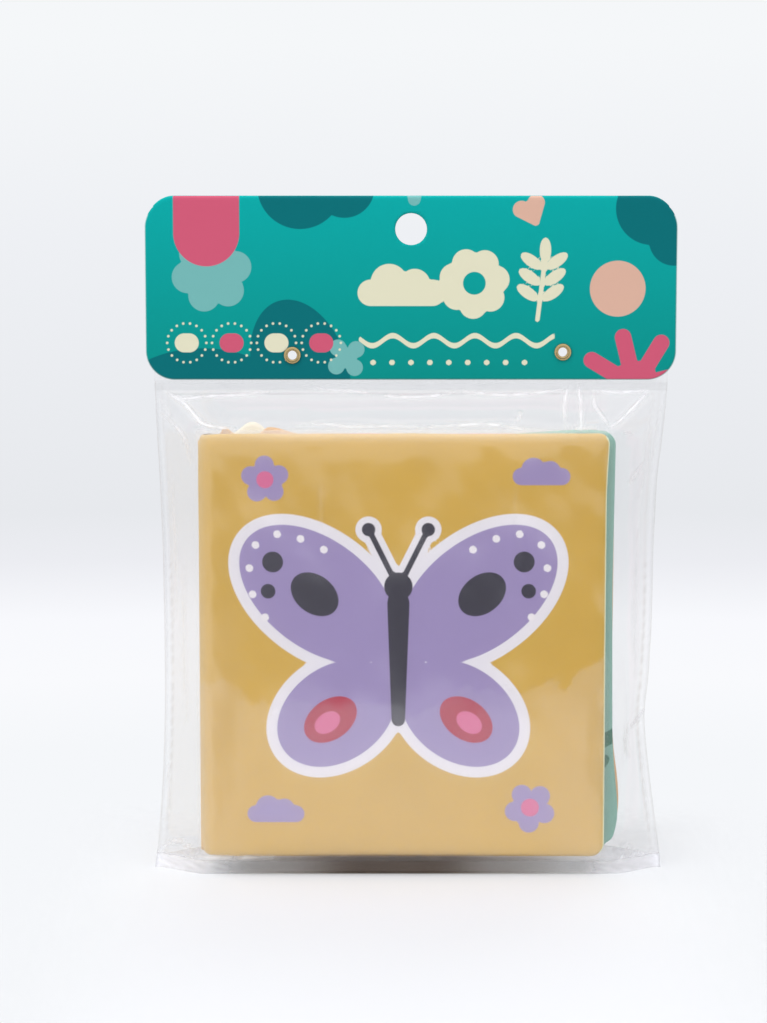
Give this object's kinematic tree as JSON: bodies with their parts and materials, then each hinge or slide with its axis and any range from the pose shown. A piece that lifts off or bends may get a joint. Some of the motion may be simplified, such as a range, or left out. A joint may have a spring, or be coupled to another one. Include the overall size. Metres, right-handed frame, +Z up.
{
  "type": "baby soft book",
  "caption": "Square padded cloth book for babies, its leaves turning about a sewn binding, standing in a clear film bag under a folded card header with a round hang hole.",
  "frame": {"origin": "middle of the pack's footprint, on the surface it stands on", "axes": "+Z up, -Y is the side that the front cover faces, +X towards the book's fore-edge"},
  "size_m": [0.168, 0.023, 0.2159],
  "materials": {
    "film": "clear glossy polypropylene film",
    "header_card": "printed card, satin varnish",
    "eyelet_brass": "polished",
    "cover_cloth": "printed smooth woven cloth",
    "teal_cloth": "printed smooth woven cloth",
    "tan_cloth": "printed smooth woven cloth",
    "cream_cloth": "printed smooth woven cloth",
    "pink_cloth": "printed smooth woven cloth",
    "wadding": "soft white polyester wadding",
    "crinkle_film": "thin crinkly film"
  },
  "bodies": {
    "bag": {"bag_front_film": "film", "bag_back_film": "film", "bag_bottom_fold": "film"},
    "neck": {"bag_neck_film": "film"},
    "header": {"bag_tab_film": "film", "header_card": "header_card", "eyelet_left": "eyelet_brass", "eyelet_right": "eyelet_brass"},
    "back_cover": {"binding_tape": "cover_cloth", "back_cover_outer_cloth": "cover_cloth", "back_cover_crinkle_film": "crinkle_film", "back_cover_padding": "wadding", "back_cover_inner_cloth": "cream_cloth"},
    "front_cover": {"front_cover_outer_cloth": "cover_cloth", "front_cover_crinkle_film": "crinkle_film", "front_cover_padding": "wadding", "front_cover_inner_cloth": "cream_cloth"},
    "leaf_2": {"leaf_2_front_cloth": "teal_cloth", "leaf_2_padding": "wadding", "leaf_2_back_cloth": "tan_cloth"},
    "leaf_3": {"leaf_3_front_cloth": "tan_cloth", "leaf_3_padding": "wadding", "leaf_3_back_cloth": "cream_cloth"},
    "leaf_4": {"leaf_4_front_cloth": "cream_cloth", "leaf_4_padding": "wadding", "leaf_4_back_cloth": "pink_cloth"},
    "leaf_5": {"leaf_5_front_cloth": "pink_cloth", "leaf_5_padding": "wadding", "leaf_5_back_cloth": "teal_cloth"}
  },
  "joints": [
    {"name": "book_lift", "type": "slide", "parent": "bag", "child": "back_cover", "axis": [0, 0, 1], "range_m": [0, 0.16], "deforming": ["bag_front_film", "bag_back_film"]},
    {"name": "header_pull", "type": "slide", "parent": "bag", "child": "neck", "axis": [0, 0, 1], "range_m": [0, 0.16]},
    {"name": "header_fold", "type": "hinge", "parent": "neck", "child": "header", "pos_m": [0, 0, 0.1572], "axis": [1, 0, 0], "range_deg": [-90, 90]},
    {"name": "front_cover_turn", "type": "hinge", "parent": "back_cover", "child": "front_cover", "pos_m": [-0.0655, 0, 0.07315], "axis": [0, 0, -1], "range_deg": [0, 180], "deforming": ["bag_front_film", "bag_back_film"]},
    {"name": "leaf_2_turn", "type": "hinge", "parent": "back_cover", "child": "leaf_2", "pos_m": [-0.0655, 0, 0.07315], "axis": [0, 0, -1], "range_deg": [0, 144]},
    {"name": "leaf_3_turn", "type": "hinge", "parent": "back_cover", "child": "leaf_3", "pos_m": [-0.0655, 0, 0.07315], "axis": [0, 0, -1], "range_deg": [0, 108]},
    {"name": "leaf_4_turn", "type": "hinge", "parent": "back_cover", "child": "leaf_4", "pos_m": [-0.0655, 0, 0.07315], "axis": [0, 0, -1], "range_deg": [0, 72]},
    {"name": "leaf_5_turn", "type": "hinge", "parent": "back_cover", "child": "leaf_5", "pos_m": [-0.0655, 0, 0.07315], "axis": [0, 0, -1], "range_deg": [0, 36]}
  ],
  "couplings": [
    {"joint": "header_pull", "follows": "book_lift", "ratio": 1},
    {"joint": "leaf_2_turn", "follows": "front_cover_turn", "ratio": 0.8},
    {"joint": "leaf_3_turn", "follows": "front_cover_turn", "ratio": 0.6},
    {"joint": "leaf_4_turn", "follows": "front_cover_turn", "ratio": 0.4},
    {"joint": "leaf_5_turn", "follows": "front_cover_turn", "ratio": 0.2}
  ]
}
